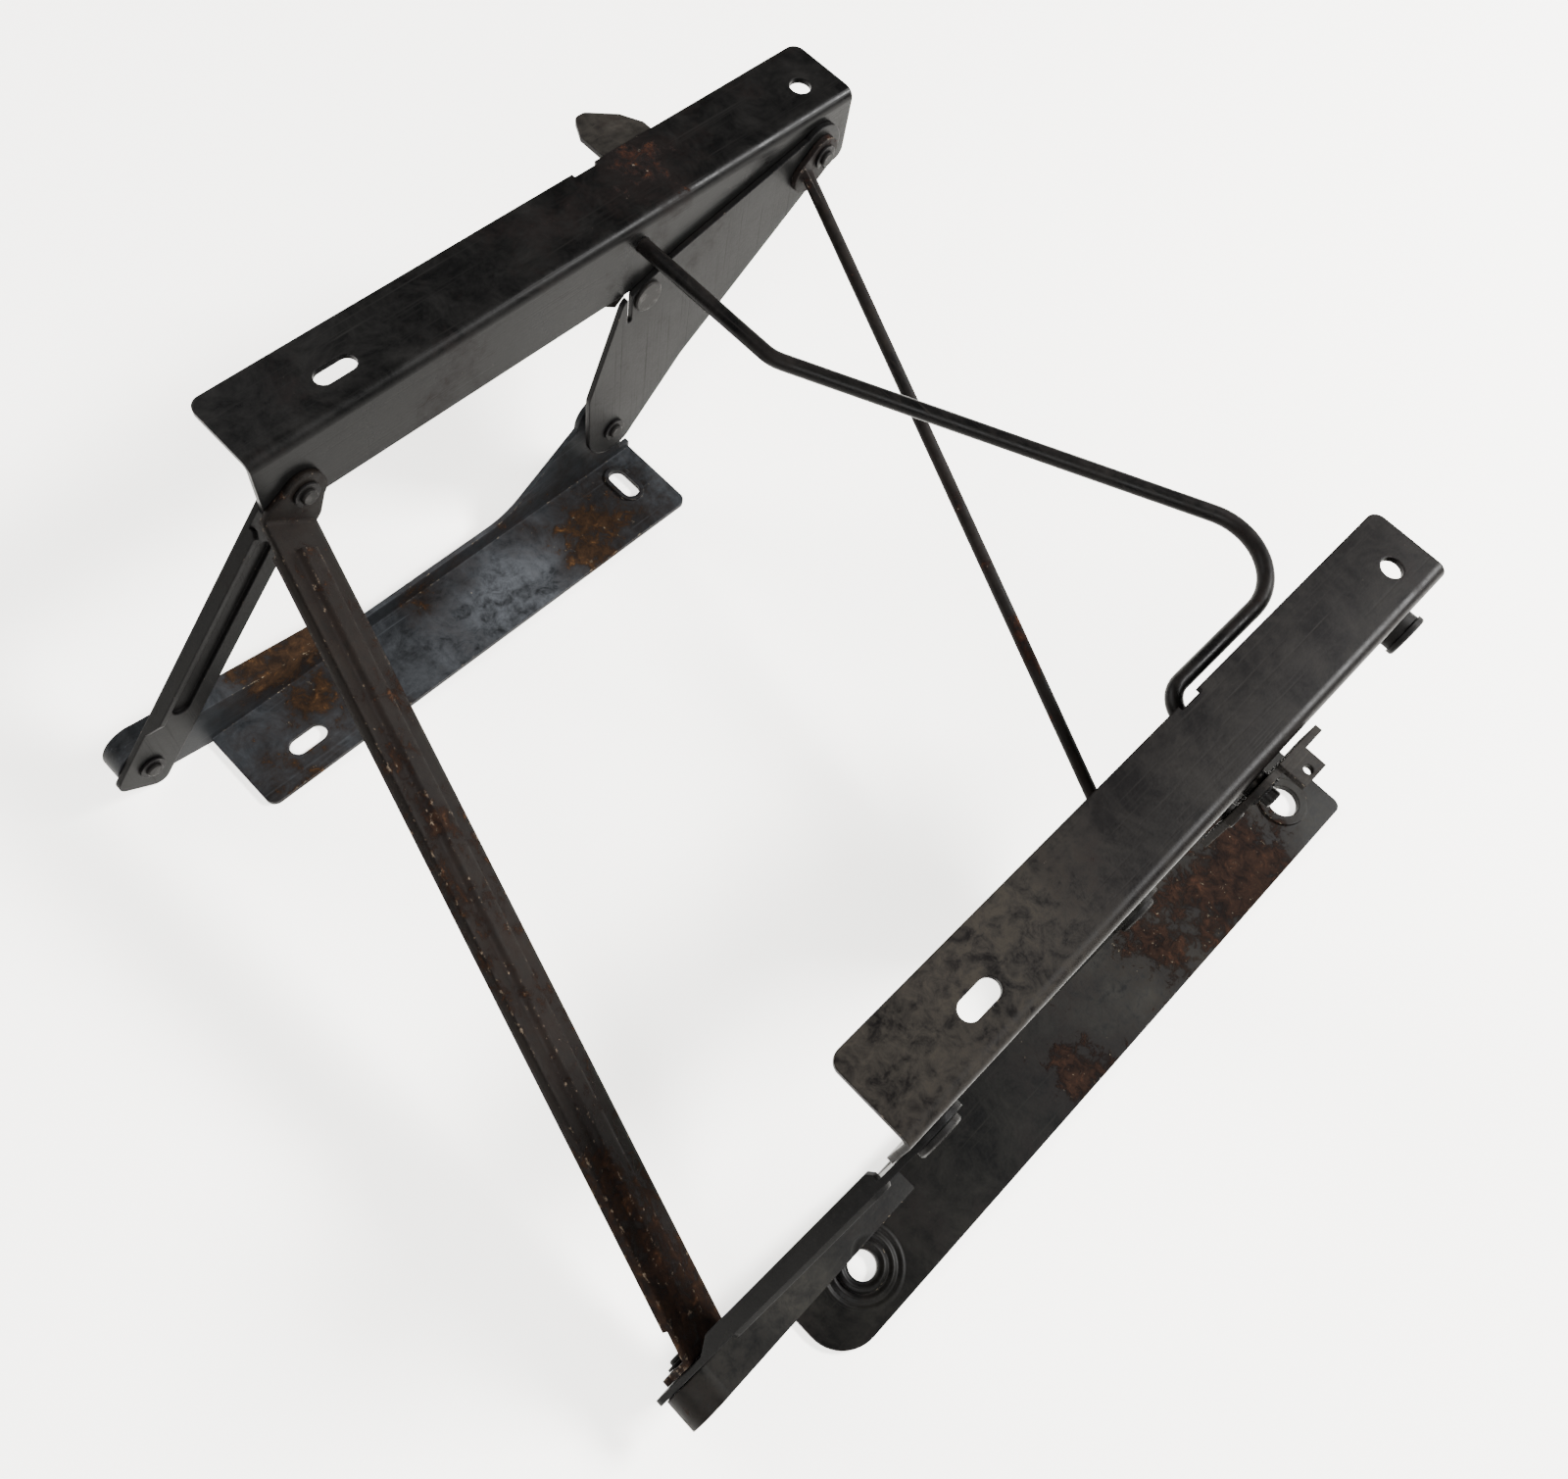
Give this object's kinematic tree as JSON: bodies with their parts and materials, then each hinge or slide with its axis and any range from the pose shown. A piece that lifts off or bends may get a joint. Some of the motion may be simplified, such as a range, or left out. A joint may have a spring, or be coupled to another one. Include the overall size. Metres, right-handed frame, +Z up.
{
  "type": "tip-forward seat base linkage",
  "caption": "Pressed-steel seat base: angle rails on a folding four-bar linkage over floor brackets, tied by two diagonal braces, with a hook latch worked by a cranked rod.",
  "frame": {"origin": "on the floor under the middle of the overall box", "axes": "+X across the seat to its right side, +Y to the rear, +Z up"},
  "size_m": [0.494, 0.4709, 0.184],
  "materials": {
    "rail_paint": "semi-gloss black paint, scratched, rust at edges",
    "floor_bracket_paint": "black paint, worn through and rusty",
    "link_paint": "black paint, chipped",
    "rusted_brace": "black paint mostly lost to brown rust",
    "painted_bar": "black paint with rust",
    "painted_rod": "black paint, worn",
    "lever_paint": "black paint, worn at the edges",
    "pin_steel": "dull zinc-plated steel",
    "spring_steel": "dark spring steel",
    "bush_steel": "turned steel",
    "stud_steel": "turned steel, polished by the hook"
  },
  "bodies": {
    "base": {"lower_bracket_left": "floor_bracket_paint", "lower_bracket_right": "floor_bracket_paint", "lower_front_pin_left": "pin_steel", "lower_front_pin_right": "pin_steel", "lower_front_clip_left": "spring_steel", "lower_front_clip_right": "spring_steel", "lower_rear_pin_left": "pin_steel", "lower_rear_pin_right": "pin_steel", "lower_rear_clip_left": "spring_steel", "lower_rear_clip_right": "spring_steel", "rear_pivot_spacer_left": "bush_steel", "rear_pivot_spacer_right": "bush_steel"},
    "front_links": {"front_link_left": "link_paint", "front_link_right": "link_paint", "front_cross_brace": "rusted_brace"},
    "upper_frame": {"upper_bracket_left": "rail_paint", "upper_bracket_right": "rail_paint", "upper_front_pin_left": "pin_steel", "upper_front_pin_right": "pin_steel", "upper_front_clip_left": "spring_steel", "upper_front_clip_right": "spring_steel"},
    "rear_links": {"rear_link_left": "link_paint", "rear_link_right": "link_paint", "upper_rear_pin_left": "pin_steel", "upper_rear_pin_right": "pin_steel", "upper_rear_clip_left": "spring_steel", "upper_rear_clip_right": "spring_steel", "catch_stud_left": "stud_steel", "catch_stud_right": "stud_steel", "rear_cross_brace": "painted_bar"},
    "release_shaft": {"latch_lever_left": "lever_paint", "latch_lever_right": "lever_paint", "lever_spacer_left": "bush_steel", "lever_spacer_right": "bush_steel", "rod_washer_left": "spring_steel", "rod_washer_right": "spring_steel", "release_rod": "painted_rod"}
  },
  "joints": [
    {"name": "front_fold", "type": "hinge", "parent": "base", "child": "front_links", "pos_m": [0.008, -0.217, 0.022], "axis": [1, 0, 0], "range_deg": [0, 60]},
    {"name": "rail_tilt", "type": "hinge", "parent": "front_links", "child": "upper_frame", "pos_m": [0.008, -0.105, 0.153], "axis": [1, 0, 0], "range_deg": [-54.5, 0]},
    {"name": "rear_fold", "type": "hinge", "parent": "base", "child": "rear_links", "pos_m": [0.008, 0.074, 0.049], "axis": [1, 0, 0], "range_deg": [0, 63]},
    {"name": "hook_release", "type": "hinge", "parent": "upper_frame", "child": "release_shaft", "pos_m": [0.008, 0.093, 0.169], "axis": [1, 0, 0], "range_deg": [-20, 0]}
  ],
  "couplings": [
    {"joint": "rail_tilt", "follows": "front_fold", "ratio": -0.9034},
    {"joint": "rear_fold", "follows": "front_fold", "ratio": 1.0468}
  ]
}
